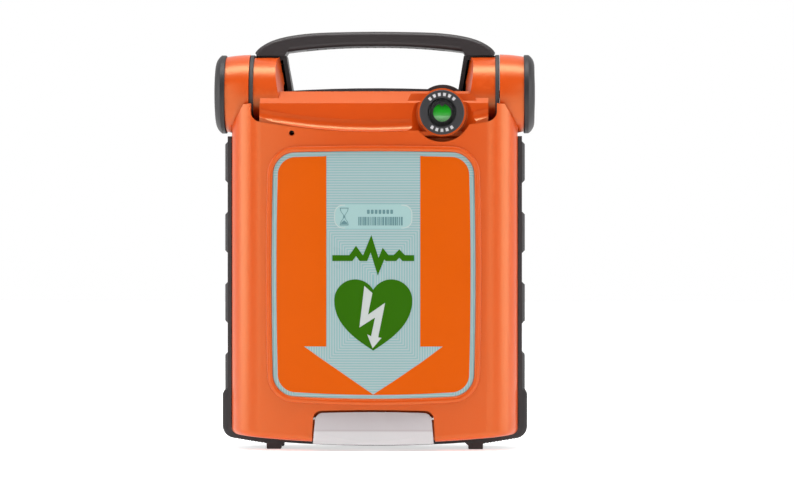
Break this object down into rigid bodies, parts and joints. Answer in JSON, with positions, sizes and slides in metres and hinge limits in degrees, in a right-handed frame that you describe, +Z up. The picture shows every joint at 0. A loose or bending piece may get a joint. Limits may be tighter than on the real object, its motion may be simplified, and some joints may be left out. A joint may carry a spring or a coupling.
{
  "type": "automated external defibrillator",
  "caption": "Portable defibrillator with a latched lid on barrel hinges, carry handle, status window, shock and information buttons, pads socket and slide-out battery.",
  "frame": {"origin": "middle of the bounding box, on the surface that the feet stand on", "axes": "+X to the right seen from the front, -Y towards the front, where the lid and latch are, +Z up"},
  "size_m": [0.23, 0.09, 0.3],
  "materials": {
    "orange_plastic": "moulded polycarbonate blend, satin",
    "charcoal_plastic": "moulded plastic, fine texture",
    "black_rubber": "overmoulded elastomer",
    "grey_plastic": "moulded plastic",
    "steel": "plain",
    "label_sheet": "printed sheet",
    "clear_plastic": "clear polycarbonate",
    "green_plastic": "moulded",
    "red_plastic": "moulded",
    "circuit_board": "solder mask",
    "copper_winding": "wound and taped",
    "brass_contact": "plated",
    "bush_plastic": "acetal",
    "aluminium_fins": "extruded",
    "foil_pouch": "foil laminate"
  },
  "bodies": {
    "body": {"alert_sounder": "charcoal_plastic", "battery_contacts": "grey_plastic", "board_screws": "steel", "bumper_band": "black_rubber", "capacitor_clamps": "grey_plastic", "carry_handle": "charcoal_plastic", "charging_transformer": "copper_winding", "chassis_screws": "steel", "connector_plate": "charcoal_plastic", "contact_blades": "brass_contact", "control_panel": "charcoal_plastic", "data_port": "charcoal_plastic", "discharge_relay": "charcoal_plastic", "display_lens": "clear_plastic", "display_module": "charcoal_plastic", "front_deck": "orange_plastic", "handle_grip": "black_rubber", "handle_screws": "steel", "hinge_pins": "steel", "hinge_ring_left": "black_rubber", "hinge_ring_right": "black_rubber", "housing_gasket": "black_rubber", "housing_screws": "steel", "hv_capacitor": "grey_plastic", "indicator_bezel": "charcoal_plastic", "indicator_coil": "copper_winding", "indicator_lens": "clear_plastic", "indicator_mask": "charcoal_plastic", "internal_chassis": "grey_plastic", "latch_keeper": "steel", "lid_gasket": "black_rubber", "main_board": "circuit_board", "pads_contacts": "brass_contact", "pads_socket": "charcoal_plastic", "port_cover_pin": "steel", "power_heatsink": "aluminium_fins", "rear_housing": "charcoal_plastic", "rubber_feet": "black_rubber", "speaker": "charcoal_plastic", "switch_board": "circuit_board", "switch_domes": "black_rubber"},
    "lid": {"lid_shell": "orange_plastic", "label_panel": "label_sheet", "pads_window": "clear_plastic", "lid_inner_tray": "grey_plastic", "electrode_pouch": "foil_pouch", "end_cap_left": "black_rubber", "end_cap_right": "black_rubber", "hinge_bushes": "bush_plastic", "latch_pin": "steel", "latch_spring": "steel"},
    "latch": {"latch_lever": "grey_plastic"},
    "status_flag": {"flag_axle": "steel", "flag_drum_green": "green_plastic", "flag_drum_red": "red_plastic"},
    "shock_button": {"shock_button": "red_plastic"},
    "info_button": {"info_button": "green_plastic"},
    "port_cover": {"port_cover": "black_rubber"},
    "battery": {"battery_pack": "charcoal_plastic"},
    "battery_latch": {"battery_latch": "grey_plastic"}
  },
  "joints": [
    {"name": "lid_hinge", "type": "hinge", "parent": "body", "child": "lid", "pos_m": [0, 0, 0.255], "axis": [-1, 0, 0], "range_deg": [0, 110]},
    {"name": "latch_pivot", "type": "hinge", "parent": "lid", "child": "latch", "pos_m": [0, -0.034, 0.0235], "axis": [-1, 0, 0], "range_deg": [0, 12], "stiffness_Nm_per_rad": 0.5},
    {"name": "status_flag_turn", "type": "hinge", "parent": "body", "child": "status_flag", "pos_m": [0.0486, -0.0226, 0.2406], "axis": [1, 0, 0], "range_deg": [0, 180]},
    {"name": "shock_button_press", "type": "slide", "parent": "body", "child": "shock_button", "axis": [0, 1, 0], "range_m": [0, 0.0025], "stiffness_N_per_m": 900},
    {"name": "info_button_press", "type": "slide", "parent": "body", "child": "info_button", "axis": [0, 1, 0], "range_m": [0, 0.0025], "stiffness_N_per_m": 900},
    {"name": "port_cover_hinge", "type": "hinge", "parent": "body", "child": "port_cover", "pos_m": [-0.077, -0.0189, 0.0594], "axis": [-1, 0, 0], "range_deg": [0, 110]},
    {"name": "battery_slide", "type": "slide", "parent": "body", "child": "battery", "axis": [0, 1, 0], "range_m": [0, 0.06]},
    {"name": "battery_latch_press", "type": "slide", "parent": "battery", "child": "battery_latch", "axis": [0, 0, -1], "range_m": [0, 0.0025], "stiffness_N_per_m": 600}
  ]
}
